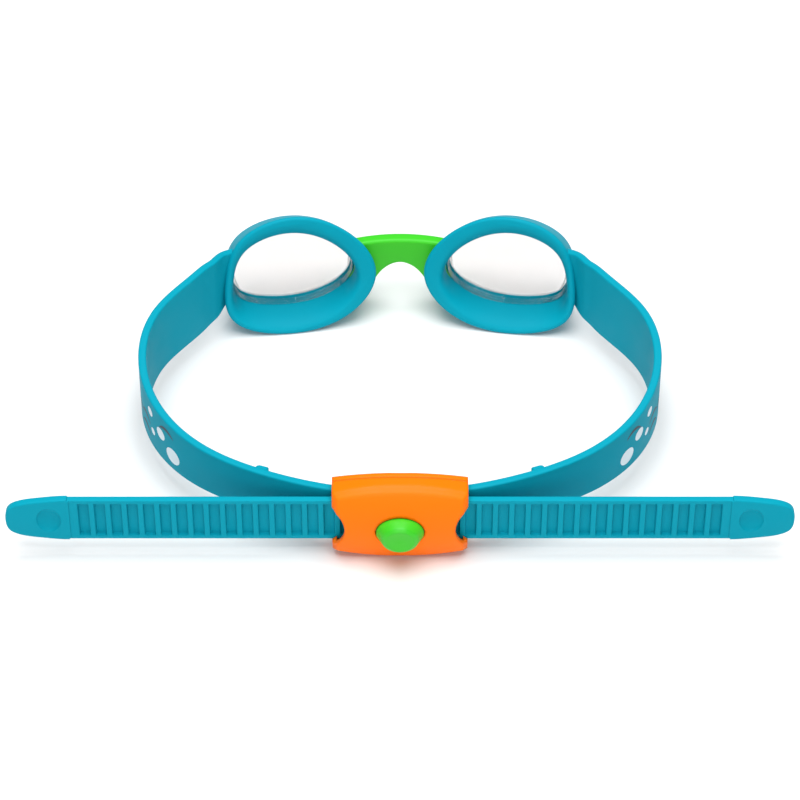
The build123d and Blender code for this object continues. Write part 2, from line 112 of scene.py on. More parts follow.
# ladder tail
TAIL_LENGTH = 89.7            # middle of the clip to the end of the ladder
TAIL_EDGE = 0.45
SHARPEST_BEND = 0.6           # where the outline bends more than this, its inset grows no further
TAB_LENGTH = 17.0
TAB_WIDTH = 14.7
TAB_SHOULDER = 0.05           # the tail widens to the tab over this length
TAB_STEP = 0.22               # the grip tab stands this proud of the ladder
TAB_STEP_PLACE = 0.4
STEP_CUT_OUT = 1.0            # the step's cutter reaches this far outside the tail's face, and up and down
STEP_CUT_HALF_HEIGHT = 9.0
LADDER_PITCH = 4.42
FIRST_POCKET = 10.3
POCKET_COUNT = 18
POCKET_LENGTH = 3.0
POCKET_HEIGHT = 11.8
POCKET_DEPTH = 1.25
POCKET_DRAFT = 0.2            # a pocket's floor is this much smaller on each side
POCKET_FLARE = 0.11           # and its cutter this much larger where it starts, outside the tail
POCKET_OVERRUN = 0.6
POCKET_CORNER = 0.35
DIMPLE_PLACE = 5.3
DIMPLE_HALF_LENGTH = 3.35
DIMPLE_HALF_HEIGHT = 4.15
DIMPLE_DEPTH = 1.5
DIMPLE_LIFT = 0.2             # the bowl's middle stands this far outside the tab

# nose bridge
BRIDGE_THICKNESS = 3.8
BRIDGE_EDGE = 1.0
BRIDGE_FORWARD = 10.6         # middle of the bridge in front of the cups' rear edge
BRIDGE_Y = TAIL_FACE_Y + LOOP_LENGTH + BRIDGE_FORWARD
BRIDGE_BOW = 1.4
BRIDGE_END = 15.0
BRIDGE_TOP = 6.3              # above the cups' middle, and the share by which it is lower at the ends
BRIDGE_TOP_FALL = 0.15
ARCH_TOP = -2.4
ARCH_FOOT = -10.5
ARCH_SHOULDER = ARCH_TOP + (ARCH_FOOT - ARCH_TOP) * 0.25
ARCH_SPREAD = 0.57            # the arch's feet and shoulders, as shares of the bridge's half length
ARCH_SHOULDER_SPREAD = 0.30
ARCH_FOOT_DIRECTION = (0.45, 0.893)

# spring, clip front and push button
SPRING_RADIUS = 1.8
SPRING_WIRE = 0.45
SPRING_TURNS = 5.5
SPRING_FRONT = 4.8            # the spring's ends, in front of the tails' outer face and behind it
SPRING_BACK = 6.4
CLIP_FRONT = 4.8              # middle of the clip's crowned front, in front of the tails' outer face
CLIP_FRONT_Y = TAIL_FACE_Y - CLIP_FRONT
CLIP_CROWN = 0.0231           # how fast that front falls back, with the square of the height
CLIP_PLAN_RADIUS = 170.0
BUTTON_RADIUS = 6.45
BUTTON_BOSS_RADIUS = 4.5
BUTTON_ROOT = 0.3             # where the button's cone starts, in front of the clip
BUTTON_ROOT_Y = CLIP_FRONT_Y - BUTTON_ROOT
BUTTON_CONE_LENGTH = 2.8
BUTTON_OVAL = 0.737           # height over width at the button's root, and at its face
BUTTON_FACE_OVAL = 0.84
BUTTON_FACE_NARROWING = 0.06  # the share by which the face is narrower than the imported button's
STEM_LENGTH = 3.1             # root of the button to the end of its two stems
HOLE_RADIUS = 6.65            # as packed, and half the height that it is drawn in to
HOLE_HALF_HEIGHT = 4.95
HOLE_DEPTH = 2.4
TOUCH = 0.03                  # points this close to a size lie on it

# print
INK_LIFT = 0.03               # the ink's face outside the strap's
BLOB_RINGS = 5
BLOB_POINTS = 36

# edges sharper than this stay sharp in the shading: in general, and on the silicone pieces
PLAIN_SHARP = radians(40)
SILICONE_SHARP = radians(32)

# ---------------------------------------------------------------- directions and places
across = np.array([cos(CUP_YAW), sin(CUP_YAW), 0])
forward = np.array([-sin(CUP_YAW), cos(CUP_YAW), 0])
face_side = np.array([sin(CUP_YAW) * cos(CUP_LEAN), -cos(CUP_YAW) * cos(CUP_LEAN), sin(CUP_LEAN)])
upright = np.cross(face_side, across)
cup_centre = np.array([-EYE_SPACING / 2, TAIL_FACE_Y + LOOP_LENGTH, CUP_HEIGHT])
temple_edge = (cup_centre - across * CUP_REAR[0] / 2)[:2]
join_direction = np.array([cos(STRAP_JOIN_ANGLE), sin(STRAP_JOIN_ANGLE)])
join_outward = np.array([-join_direction[1], join_direction[0]])
strap_join = temple_edge - join_direction * STRAP_LUG_REACH + join_outward * STRAP_LUG_OUTSET
quarter_turn = [radians(angle) for angle in (0, 18, 36, 54, 72, 90)]


# ---------------------------------------------------------------- curves and meshes
def smooth_curve(points, count, ends=None):
    """A cubic spline through a few points: closed, or open with a unit direction at each end."""
    points = np.array(points, float)
    closed = ends is None
    if closed:
        points = np.vstack([points, points[:1]])
    step = np.linalg.norm(np.diff(points, axis=0), axis=1)
    last = len(points) - 1
    # the slopes at the points follow from an even curvature on both sides of each
    system = np.zeros((last + 1, last + 1))
    wanted = np.zeros_like(points)
    for i in range(last if closed else last + 1):
        before, after = step[i - 1], step[min(i, last - 1)]
        if not closed and i in (0, last):
            system[i, i] = 1
            wanted[i] = ends[0 if i == 0 else 1]
            continue
        system[i, [i - 1 if i else last - 1, i, i + 1]] = after, 2 * (before + after), before
        back = points[i] - points[i - 1 if i else last - 1]
        ahead = points[i + 1] - points[i]
        wanted[i] = 3 * (after / before * back + before / after * ahead)
    if closed:
        system[last, 0] = 1
        system[last, last] = -1
    slope = np.linalg.solve(system, wanted)
    place = np.concatenate([[0], np.cumsum(step)])
    at = np.linspace(0, place[-1], count, endpoint=not closed)
    k = np.clip(np.searchsorted(place, at, side="right") - 1, 0, last - 1)
    t = ((at - place[k]) / step[k])[:, None]
    reach = step[k][:, None]
    return (
        (1 + 2 * t) * (1 - t) ** 2 * points[k]
        + t * (1 - t) ** 2 * reach * slope[k]
        + t * t * (3 - 2 * t) * points[k + 1]
        + t * t * (t - 1) * reach * slope[k + 1]
    )


def placed(name, mesh):
    """A new object in the scene that shows a mesh."""
    piece = bpy.data.objects.new(name, mesh)
    bpy.context.collection.objects.link(piece)
    return piece


def finish_mesh(name, mesh_parts):
    """One object from lists of (points, faces), with outward normals and smooth shading."""
    work = bmesh.new()
    for points, faces in mesh_parts:
        made = [work.verts.new(np.array(point) * MM) for point in points]
        for face in faces:
            work.faces.new([made[i] for i in face])
    bmesh.ops.recalc_face_normals(work, faces=work.faces)
    for face in work.faces:
        face.smooth = True
    mesh = bpy.data.meshes.new(name)
    work.to_mesh(mesh)
    work.free()
    mesh.set_sharp_from_angle(angle=PLAIN_SHARP)
    return placed(name, mesh)


def skin(rings):
    """Points and faces of the closed surface through rings of equal count, with a cap at each end."""
    count = len(rings[0])
    faces = []
    for i in range(len(rings) - 1):
        for k in range(count):
            m = (k + 1) % count
            faces.append((i * count + k, i * count + m, (i + 1) * count + m, (i + 1) * count + k))
    faces.append(tuple(range(count)))
    faces.append(tuple(range((len(rings) - 1) * count, len(rings) * count)))
    return np.concatenate(rings), faces


def combine(target, cutter, operation):
    """Adds the cutter to the target or cuts it away, and deletes the cutter."""
    step = target.modifiers.new(operation.lower(), "BOOLEAN")
    step.object = cutter
    step.operation = operation
    step.solver = "EXACT"
    bpy.context.view_layer.objects.active = target
    bpy.ops.object.modifier_apply(modifier=step.name)
    bpy.data.objects.remove(cutter)


def mirrored(piece, name):
    """The same piece for the other side of the middle plane."""
    twin = placed(name, piece.data.copy())
    for vertex in twin.data.vertices:
        vertex.co.x = -vertex.co.x
    twin.data.flip_normals()
    return twin


def joined(name, *pieces):
    """Several meshes made one object."""
    bpy.ops.object.select_all(action="DESELECT")
    for piece in pieces:
        piece.select_set(True)
    bpy.context.view_layer.objects.active = pieces[0]
    bpy.ops.object.join()
    pieces[0].name = name
    pieces[0].data.name = name
    return pieces[0]


# ---------------------------------------------------------------- eye cups
# the left eye's outline, one unit wide and one high
eye_outline = smooth_curve(
    [
        (-0.500, -0.020),
        (-0.380, 0.343),
        (-0.042, 0.500),
        (0.344, 0.316),
        (0.500, -0.064),
        (0.317, -0.375),
        (-0.152, -0.500),
        (-0.453, -0.365),
    ],
    count=144,
)


def eye_ring(depth, size, shift=(0, 0), inset=0.0):
    """The eye's outline at a depth in the cup, as points in space."""
    flat = eye_outline * (np.array(size) - 2 * inset) + np.array(shift)
    return cup_centre + flat[:, :1] * across + flat[:, 1:] * upright - depth * face_side


def cup_ring(depth, inset=0.0):
    """The outside of the cup at a depth."""
    share = depth / CUP_DEPTH
    size = np.array(CUP_REAR) * (1 - share) + np.array(CUP_FRONT) * share
    return eye_ring(depth, size, np.array(FRONT_SHIFT) * share, inset)


def inner_ring(depth, open_up=0.0):
    """The inside of the cup between its rear opening and the ledge behind the lens."""
    share = depth / LENS_SEAT[0]
    ledge = np.array(LENS_SIZE) - 2 * LENS_LEDGE
    size = np.array(CUP_OPENING) * (1 - share) + ledge * share
    shift = np.array(OPENING_SHIFT) * (1 - share) + np.array(LENS_SHIFT) * share
    widen = np.array([LIP_SIDE, (LIP_TOP + LIP_BOTTOM) / 2])
    raised = np.array([0, (LIP_TOP - LIP_BOTTOM) / 2])
    return eye_ring(depth, size + 2 * widen * open_up, shift + raised * open_up)


def cup_body():
    """The cup as if it were solid, with a rounded rear edge and a rounded front edge."""
    rings = []
    for angle in reversed(quarter_turn):
        rings.append(cup_ring(LIP_ROUND * (1 - sin(angle)), LIP_ROUND * (1 - cos(angle))))
    rings += [cup_ring(depth) for depth in CUP_WALL_DEPTHS]
    for angle in quarter_turn:
        depth = CUP_DEPTH - FRONT_ROUND * (1 - sin(angle))
        rings.append(cup_ring(depth, FRONT_ROUND * (1 - cos(angle))))
    return finish_mesh("left_cup_and_strap", [skin(rings)])


def cup_hollow():
    """Everything that the cup leaves open: the eye's opening, the lens seat and the front aperture."""
    rings = [inner_ring(-CUP_OVERRUN, 1.0)]
    for angle in reversed(quarter_turn):
        rings.append(inner_ring(LIP_ROLL * (1 - sin(angle)), 1 - cos(angle)))
    rings += [inner_ring((LIP_ROLL + LENS_SEAT[0]) / 2), inner_ring(LENS_SEAT[0])]
    for depth in (LENS_SEAT[0] + SQUARE_STEP, LENS_SEAT[1] - SQUARE_STEP):
        rings.append(eye_ring(depth, LENS_SIZE, LENS_SHIFT))
    for depth in (LENS_SEAT[1], CUP_DEPTH + CUP_OVERRUN):
        rings.append(eye_ring(depth, LENS_SIZE, LENS_SHIFT, LENS_INSET))
    return finish_mesh("cup_hollow", [skin(rings)])


def space_behind_cup():
    """The space between the cup and the face, where no strap may stand, as a cutter."""
    rings = [eye_ring(depth, CUP_REAR, inset=CUP_CLEARANCE) for depth in (-TRIM_LENGTH, 0.0)]
    return finish_mesh("space_behind", [skin(rings)])


# ---------------------------------------------------------------- strap
# the left strap's route in plan: round the bar in the clip, round the head, and into the wall of the cup
fold_centre = np.array([-BAR_PLACE, TAIL_FACE_Y + STRAP_THICKNESS / 2 + FOLD_RADIUS])
fold = [
    fold_centre + FOLD_RADIUS * np.array([cos(angle), sin(angle)])
    for angle in np.linspace(-pi / 2, pi / 2, 25)
]
# on the way round the head, as shares of the loop's half width and length
head_shares = [
    (-0.297, 0.065),
    (-0.526, 0.119),
    (-0.745, 0.206),
    (-0.900, 0.327),
    (-1.000, 0.564),
    (-0.953, 0.732),
    (-0.803, 0.891),
]
run = smooth_curve(
    [fold[-1] - np.array([FOLD_STRAIGHT, 0])]
    + [(x * LOOP_HALF_WIDTH, TAIL_FACE_Y + y * LOOP_LENGTH) for x, y in head_shares]
    + [strap_join],
    count=200,
    ends=(np.array([-1, 0]), join_direction),
)
lug = smooth_curve(
    [
        strap_join,
        temple_edge + forward[:2] * LUG_MIDDLE[0] + across[:2] * LUG_MIDDLE[1],
        temple_edge + forward[:2] * LUG_END[0] + across[:2] * LUG_END[1],
    ],
    count=16,
    ends=(join_direction, (across + forward)[:2] / 2**0.5),
)
strap_route = np.vstack([fold, run, lug[1:]])
strap_walk = np.concatenate([[0], np.cumsum(np.linalg.norm(np.diff(strap_route, axis=0), axis=1))])
# how the strap's height grows from the clip to the cup, as (share of the way, share of the growth)
growth = smooth_curve(
    [(0.00, 0.00), (0.19, 0.17), (0.40, 0.48), (0.68, 0.93), (0.80, 1.00), (1.00, 0.98)],
    count=60,
    ends=((1, 0), (1, 0)),
)


def strap_height(y):
    """The strap's middle height and half height at a place along the head."""
    share = np.clip((y - TAIL_FACE_Y - STRAP_THICKNESS) / LOOP_LENGTH, 0, 1)
    wide = np.interp(share, growth[:, 0], growth[:, 1])
    middle = CLIP_HEIGHT + (CUP_HEIGHT - CLIP_HEIGHT) * share
    taper = 1 - STRAP_TAPER * max(0, y - strap_join[1] + STRAP_TAPER_LENGTH) ** 2
    return middle, taper * (STRAP_WIDTH + (STRAP_CUP_WIDTH - STRAP_WIDTH) * wide) / 2


def strap_frame(i):
    """Place and side direction at one point of the strap's route."""
    ahead = strap_route[min(i + 1, len(strap_route) - 1)] - strap_route[max(i - 1, 0)]
    ahead /= np.linalg.norm(ahead)
    return strap_route[i], np.array([ahead[1], -ahead[0]])


def rounded_bar(half_thick, half_tall, edge):
    """A rounded rectangle as (side, up) points, counter-clockwise."""
    ring = []
    for quarter in range(4):
        side = 1 if quarter in (0, 3) else -1
        up = 1 if quarter in (0, 1) else -1
        for turn in np.linspace(quarter, quarter + 1, 6) * pi / 2:
            along_side = side * (half_thick - edge) + edge * cos(turn)
            along_up = up * (half_tall - edge) + edge * sin(turn)
            ring.append((along_side, along_up))
    return np.array(ring)


def strap_run():
    """The strap from the clip to the cup, a rounded bar that gets taller on its way."""
    rings = []
    for i in range(len(strap_route)):
        place, side = strap_frame(i)
        middle, half = strap_height(place[1])
        ring = rounded_bar(STRAP_THICKNESS / 2, half, STRAP_EDGE)
        rings.append(np.column_stack([place + ring[:, :1] * side, middle + ring[:, 1]]))
    return finish_mesh("strap_run", [skin(rings)])


def stop_rib():
    """The rib that stops the clip: a steep side towards the clip and a sloping one towards the cup.

    Its profile is in (along the strap, out from the strap's middle), and its two ends are bevelled.
    """
    place, side = strap_frame(int(np.searchsorted(strap_walk, STOP_SHARE * strap_walk[-1])))
    ahead = np.array([-side[1], side[0]])
    middle = strap_height(place[1])[0]
    inner = STOP_HALF_HEIGHT - STOP_EDGE
    rings = []
    for up, shrink in (
        (-STOP_HALF_HEIGHT, STOP_EDGE),
        (-inner, 0.0),
        (inner, 0.0),
        (STOP_HALF_HEIGHT, STOP_EDGE),
    ):
        proud = STRAP_THICKNESS / 2 + STOP_PROUD - shrink
        profile = [
            (shrink, STOP_ROOT),
            (shrink + 0.1 * STOP_LENGTH, proud - 0.2),
            (shrink + 0.2 * STOP_LENGTH, proud),
            (0.70 * STOP_LENGTH, proud),
            (0.85 * STOP_LENGTH, proud - 0.35),
            (STOP_LENGTH - shrink, STRAP_THICKNESS / 2 - 0.1),
            (STOP_LENGTH - shrink, STOP_ROOT),
        ]
        flat = np.array([place + ahead * along + side * out for along, out in profile])
        rings.append(np.column_stack([flat, np.full(len(flat), middle + up)]))
    return finish_mesh("stop_rib", [skin(rings)])


# ---------------------------------------------------------------- ladder tail
# the grip tab's side, from the ladder's end to the tip
tab_side = smooth_curve(
    [
        (-TAIL_LENGTH, TAB_WIDTH / 2),
        (-TAIL_LENGTH - 0.50 * TAB_LENGTH, 0.445 * TAB_WIDTH),
        (-TAIL_LENGTH - 0.80 * TAB_LENGTH, 0.370 * TAB_WIDTH),
        (-TAIL_LENGTH - 0.95 * TAB_LENGTH, 0.255 * TAB_WIDTH),
        (-TAIL_LENGTH - TAB_LENGTH, 0),
    ],
    count=40,
    ends=(np.array([-1, 0]), np.array([0, -1])),
)
half_outline = np.vstack(
    [[(-BAR_PLACE, STRAP_WIDTH / 2), (-TAIL_LENGTH + TAB_SHOULDER, STRAP_WIDTH / 2)], tab_side[:-1]]
)
tail_outline = np.vstack([half_outline, tab_side[-1:], (half_outline * (1, -1))[::-1]])


def tail_ring(depth, inset):
    """The tail's outline drawn in by an inset, at a depth behind the tail's outer face."""
    before = tail_outline - np.roll(tail_outline, 1, axis=0)
    after = np.roll(tail_outline, -1, axis=0) - tail_outline
    before /= np.linalg.norm(before, axis=1)[:, None]
    after /= np.linalg.norm(after, axis=1)[:, None]
    lean = before + after
    lean /= np.maximum(np.linalg.norm(lean, axis=1), 1e-6)[:, None]
    inward = np.column_stack([-lean[:, 1], lean[:, 0]])
    bend = np.maximum((before * lean).sum(axis=1), SHARPEST_BEND)[:, None]
    flat = tail_outline + inward * inset / bend
    flat[:, 0] = np.minimum(flat[:, 0], -BAR_PLACE)
    return np.column_stack([flat[:, 0], np.full(len(flat), TAIL_FACE_Y + depth), CLIP_HEIGHT + flat[:, 1]])


def tail_body():
    """The tail without its pockets, with rounded edges on both faces."""
    steps = [(TAIL_EDGE * (1 - sin(a)), TAIL_EDGE * (1 - cos(a))) for a in reversed(quarter_turn)]
    rings = [tail_ring(depth, inset) for depth, inset in steps]
    rings += [tail_ring(STRAP_THICKNESS - depth, inset) for depth, inset in reversed(steps)]
    return finish_mesh("tail", [skin(rings)])


def ladder_pockets():
    """The row of drafted pockets that the pawl's tooth steps along, as one cutter."""
    parts = []
    for i in range(POCKET_COUNT):
        centre = -FIRST_POCKET - LADDER_PITCH * i
        rings = []
        for depth, draft in (
            (-POCKET_OVERRUN, -POCKET_FLARE),
            (TAB_STEP, 0.0),
            (TAB_STEP + POCKET_DEPTH, POCKET_DRAFT),
        ):
            ring = rounded_bar(POCKET_LENGTH / 2 - draft, POCKET_HEIGHT / 2 - draft, POCKET_CORNER)
            y = np.full(len(ring), TAIL_FACE_Y + depth)
            rings.append(np.column_stack([centre + ring[:, 0], y, CLIP_HEIGHT + ring[:, 1]]))
        parts.append(skin(rings))
    return finish_mesh("pockets", parts)


def ladder_step():
    """The thin layer by which the ladder lies lower than the grip tab, as a cutter."""
    rings = []
    for x in (-TAIL_LENGTH + TAB_STEP_PLACE, 0.0):
        corners = []
        for depth, up in ((-STEP_CUT_OUT, -1), (TAB_STEP, -1), (TAB_STEP, 1), (-STEP_CUT_OUT, 1)):
            corners.append((x, TAIL_FACE_Y + depth, CLIP_HEIGHT + up * STEP_CUT_HALF_HEIGHT))
        rings.append(np.array(corners))
    return finish_mesh("ladder_step", [skin(rings)])


def thumb_dimple():
    """The oval bowl in the grip tab: a squashed ball with its poles cut off, as a cutter."""
    rings = []
    spin = np.linspace(0, 2 * pi, 48, endpoint=False)
    for tilt in np.radians(np.linspace(-84, 84, 25)):
        x = -TAIL_LENGTH - DIMPLE_PLACE + DIMPLE_HALF_LENGTH * cos(tilt) * np.cos(spin)
        y = np.full(len(spin), TAIL_FACE_Y - DIMPLE_LIFT + DIMPLE_DEPTH * sin(tilt))
        z = CLIP_HEIGHT + DIMPLE_HALF_HEIGHT * cos(tilt) * np.sin(spin)
        rings.append(np.column_stack([x, y, z]))
    return finish_mesh("dimple", [skin(rings)])


# ---------------------------------------------------------------- nose bridge
# the underside of the bridge over the nose
arch = smooth_curve(
    [
        (-ARCH_SPREAD * BRIDGE_END, ARCH_FOOT),
        (-ARCH_SHOULDER_SPREAD * BRIDGE_END, ARCH_SHOULDER),
        (0, ARCH_TOP),
        (ARCH_SHOULDER_SPREAD * BRIDGE_END, ARCH_SHOULDER),
        (ARCH_SPREAD * BRIDGE_END, ARCH_FOOT),
    ],
    count=61,
    ends=(np.array(ARCH_FOOT_DIRECTION), ARCH_FOOT_DIRECTION * np.array([1, -1])),
)


def bridge_bar():
    """The bridge as one bowed bar with the arch over the nose, before the cups' openings are cut from it."""
    rings = []
    for x in np.linspace(-BRIDGE_END, BRIDGE_END, 91):
        outward = (x / BRIDGE_END) ** 2
        top = BRIDGE_TOP * (1 - BRIDGE_TOP_FALL * outward)
        bottom = np.interp(x, arch[:, 0], arch[:, 1])
        ring = rounded_bar(BRIDGE_THICKNESS / 2, (top - bottom) / 2, BRIDGE_EDGE)
        y = BRIDGE_Y - BRIDGE_BOW * outward + ring[:, 0]
        z = CUP_HEIGHT + (top + bottom) / 2 + ring[:, 1]
        rings.append(np.column_stack([np.full(len(ring), x), y, z]))
    return finish_mesh("nose_bridge_moulding", [skin(rings)])


# ---------------------------------------------------------------- the silicone pieces
left_silicone = cup_body()
strap_piece = strap_run()
combine(strap_piece, stop_rib(), "UNION")
combine(strap_piece, space_behind_cup(), "DIFFERENCE")
combine(left_silicone, strap_piece, "UNION")
combine(left_silicone, cup_hollow(), "DIFFERENCE")
combine(left_silicone, bridge_bar(), "DIFFERENCE")
tail_piece = tail_body()
for cutter in (ladder_step(), ladder_pockets(), thumb_dimple()):
    combine(tail_piece, cutter, "DIFFERENCE")
left_silicone = joined("left_cup_and_strap", left_silicone, tail_piece)
for polygon in left_silicone.data.polygons:
    polygon.use_smooth = True
left_silicone.data.set_sharp_from_angle(angle=SILICONE_SHARP)
right_silicone = mirrored(left_silicone, "right_cup_and_strap")

bridge = bridge_bar()
left_hollow = cup_hollow()
right_hollow = mirrored(left_hollow, "right_hollow")
combine(bridge, left_hollow, "DIFFERENCE")
combine(bridge, right_hollow, "DIFFERENCE")
bridge.data.set_sharp_from_angle(angle=SILICONE_SHARP)

# ---------------------------------------------------------------- spring under the button
spring_start = TAIL_FACE_Y - SPRING_FRONT + SPRING_WIRE / 2
spring_end = TAIL_FACE_Y + SPRING_BACK - SPRING_WIRE / 2
round_wire = np.linspace(0, 2 * pi, 10, endpoint=False)
coil_rings = []
for turn in np.linspace(0, SPRING_TURNS, int(SPRING_TURNS * 40)):
    y = spring_start + (spring_end - spring_start) * turn / SPRING_TURNS
    outward = np.array([cos(2 * pi * turn), 0, sin(2 * pi * turn)])
    coil_rings.append(
        np.array([0, y, CLIP_HEIGHT])
        + outward * (SPRING_RADIUS + SPRING_WIRE / 2 * np.cos(round_wire)[:, None])
        + np.array([0, 1, 0]) * (SPRING_WIRE / 2 * np.sin(round_wire)[:, None])
    )
spring = finish_mesh("coil_spring", [skin(coil_rings)])


# ---------------------------------------------------------------- oval button and its hole
def packed_copy(name, node_name):
    """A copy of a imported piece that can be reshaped, and the places of its points in millimetres."""
    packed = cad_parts[node_name]
    mesh = packed.data.copy()
    mesh.transform(packed.matrix_world)
    return placed(name, mesh), np.array([point.co for point in mesh.vertices]) / MM


def reshape(piece, places):
    """Moves the points of a mesh to new places."""
    for point, place in zip(piece.data.vertices, places):
        point.co = place * MM
    piece.data.update()


def oval_button():
    """The push button drawn in above and below; its boss and spring pocket stay round."""
    piece, places = packed_copy("oval_push_button", "push_button")
    from_axis = np.hypot(places[:, 0], places[:, 2] - CLIP_HEIGHT)
    face_share = np.clip((BUTTON_ROOT_Y - places[:, 1]) / BUTTON_CONE_LENGTH, 0, 1)
    cap = places[:, 1] < BUTTON_ROOT_Y + TOUCH
    rim = (from_axis > BUTTON_BOSS_RADIUS + TOUCH) & (from_axis < BUTTON_RADIUS + TOUCH)
    drawn_in = cap | (rim & (places[:, 1] < BUTTON_ROOT_Y + STEM_LENGTH + TOUCH))
    oval = BUTTON_OVAL + (BUTTON_FACE_OVAL - BUTTON_OVAL) * face_share
    places[:, 0] *= 1 - BUTTON_FACE_NARROWING * face_share
    places[drawn_in, 2] = CLIP_HEIGHT + ((places[:, 2] - CLIP_HEIGHT) * oval)[drawn_in]
    reshape(piece, places)
    return piece


def cover_with_oval_hole():
    """The clip cover with the edge of the button's hole drawn in; the crown of its front carries on."""
    piece, places = packed_copy("clip_cover_moulding", "clip_cover")
    x, z = places[:, 0], places[:, 2] - CLIP_HEIGHT
    on_edge = np.abs(np.hypot(x, z) - HOLE_RADIUS) < TOUCH
    edge = on_edge & (places[:, 1] < CLIP_FRONT_Y + HOLE_DEPTH + TOUCH)
    spin = np.arctan2(z, x)
    reach = ((np.cos(spin) / HOLE_RADIUS) ** 2 + (np.sin(spin) / HOLE_HALF_HEIGHT) ** 2) ** -0.5
    new_x, new_z = reach * np.cos(spin), reach * np.sin(spin)
    fall = CLIP_CROWN * (new_z**2 - z**2) + (new_x**2 - x**2) / (2 * CLIP_PLAN_RADIUS)
    moved = np.column_stack([new_x, places[:, 1] + fall, CLIP_HEIGHT + new_z])
    places[edge] = moved[edge]
    reshape(piece, places)
    return piece


button = oval_button()
cover = cover_with_oval_hole()


# ---------------------------------------------------------------- print on the straps
def on_strap(along_share, up):
    """A point just outside the strap's outer face, at a share of its length and a height from its middle."""
    at = along_share * strap_walk[-1]
    i = int(np.clip(np.searchsorted(strap_walk, at), 1, len(strap_walk) - 1))
    t = (at - strap_walk[i - 1]) / (strap_walk[i] - strap_walk[i - 1])
    here = strap_route[i - 1] * (1 - t) + strap_route[i] * t
    side = strap_frame(i - 1)[1] * (1 - t) + strap_frame(i)[1] * t
    flat = here - side * (STRAP_THICKNESS / 2 + INK_LIFT)
    return np.array([*flat, strap_height(here[1])[0] + up])


def printed_shapes(name, shapes):
    """Ink on the strap: each shape is a rounded blob (share, up, half length, half height, droop)."""
    parts = []
    for share, up, half_long, half_tall, droop in shapes:
        points = [on_strap(share, up)]
        faces = []
        for ring in range(1, BLOB_RINGS + 1):
            for k in range(BLOB_POINTS):
                angle = 2 * pi * k / BLOB_POINTS
                a = half_long * ring / BLOB_RINGS * cos(angle)
                b = half_tall * ring / BLOB_RINGS * sin(angle) - droop * (a / half_long) ** 2
                points.append(on_strap(share + a / strap_walk[-1], up + b))
        for k in range(BLOB_POINTS):
            m = (k + 1) % BLOB_POINTS
            faces.append((0, 1 + k, 1 + m))
            for ring in range(BLOB_RINGS - 1):
                low = 1 + ring * BLOB_POINTS
                high = low + BLOB_POINTS
                faces.append((low + k, high + k, high + m, low + m))
        parts.append((points, faces))
    return finish_mesh(name, parts)


# a row of rising bubbles
pale_print = printed_shapes(
    "left_pale_print",
    [
        (0.452, -2.8, 2.9, 2.6, 0.0),
        (0.489, 1.2, 2.1, 1.9, 0.0),
        (0.521, -2.0, 1.2, 1.1, 0.0),
        (0.530, 4.2, 1.6, 1.4, 0.0),
    ],
)
# short arcs, as of fish scales
dark_print = printed_shapes(
    "left_dark_print",
    [
        (0.470, 5.0, 3.4, 0.6, 1.5),
        (0.556, -3.4, 3.6, 0.6, 1.6),
        (0.556, 0.6, 3.6, 0.6, 1.6),
        (0.600, -1.4, 3.6, 0.6, 1.6),
    ],
)
right_pale_print = mirrored(pale_print, "right_pale_print")
right_dark_print = mirrored(dark_print, "right_dark_print")


# ---------------------------------------------------------------- materials
SILICONE_IOR = 1.41
ABS_IOR = 1.54
ACETAL_IOR = 1.48
POLYCARBONATE_IOR = 1.585
INK_IOR = 1.45

# sizes of the patterns, in millimetres
GLOSS_PATCH = 9.0
DRAWN_LINE = 1.2
LENS_FLOW = 14.0
INK_TOOTH = 0.8
TABLE_TOOTH = 40.0

# in the lenses: a ray that has passed more surfaces than this is inside the skirt, and the share of the
# others that goes straight on
INSIDE_SKIRT = 3.5
STRAIGHT_SHARE = 0.45


def linear(code):
    """An sRGB hex colour as linear red, green, blue and alpha."""
    shares = [int(code[i : i + 2], 16) / 255 for i in (1, 3, 5)]
    return [c / 12.92 if c <= 0.04045 else ((c + 0.055) / 1.055) ** 2.4 for c in shares] + [1]


def node(material, kind, settings=None, links=None):
    """Adds a node with its settings and links, where an input is given by its name or its number."""
    made = material.node_tree.nodes.new("ShaderNode" + kind)
    for key, value in (settings or {}).items():
        if isinstance(key, int) or key in made.inputs:
            made.inputs[key].default_value = value
        else:
            setattr(made, key, value)
    for key, output in (links or {}).items():
        material.node_tree.links.new(output, made.inputs[key])
    return made


def new_material(name):
    """A material with an empty node tree."""
    material = bpy.data.materials.new(name)
    material.use_nodes = True
    material.node_tree.nodes.clear()
    return material


def close(material, shader):
    """Puts a shader on the material's surface, which completes it."""
    node(material, "OutputMaterial", links={"Surface": shader})
    return material


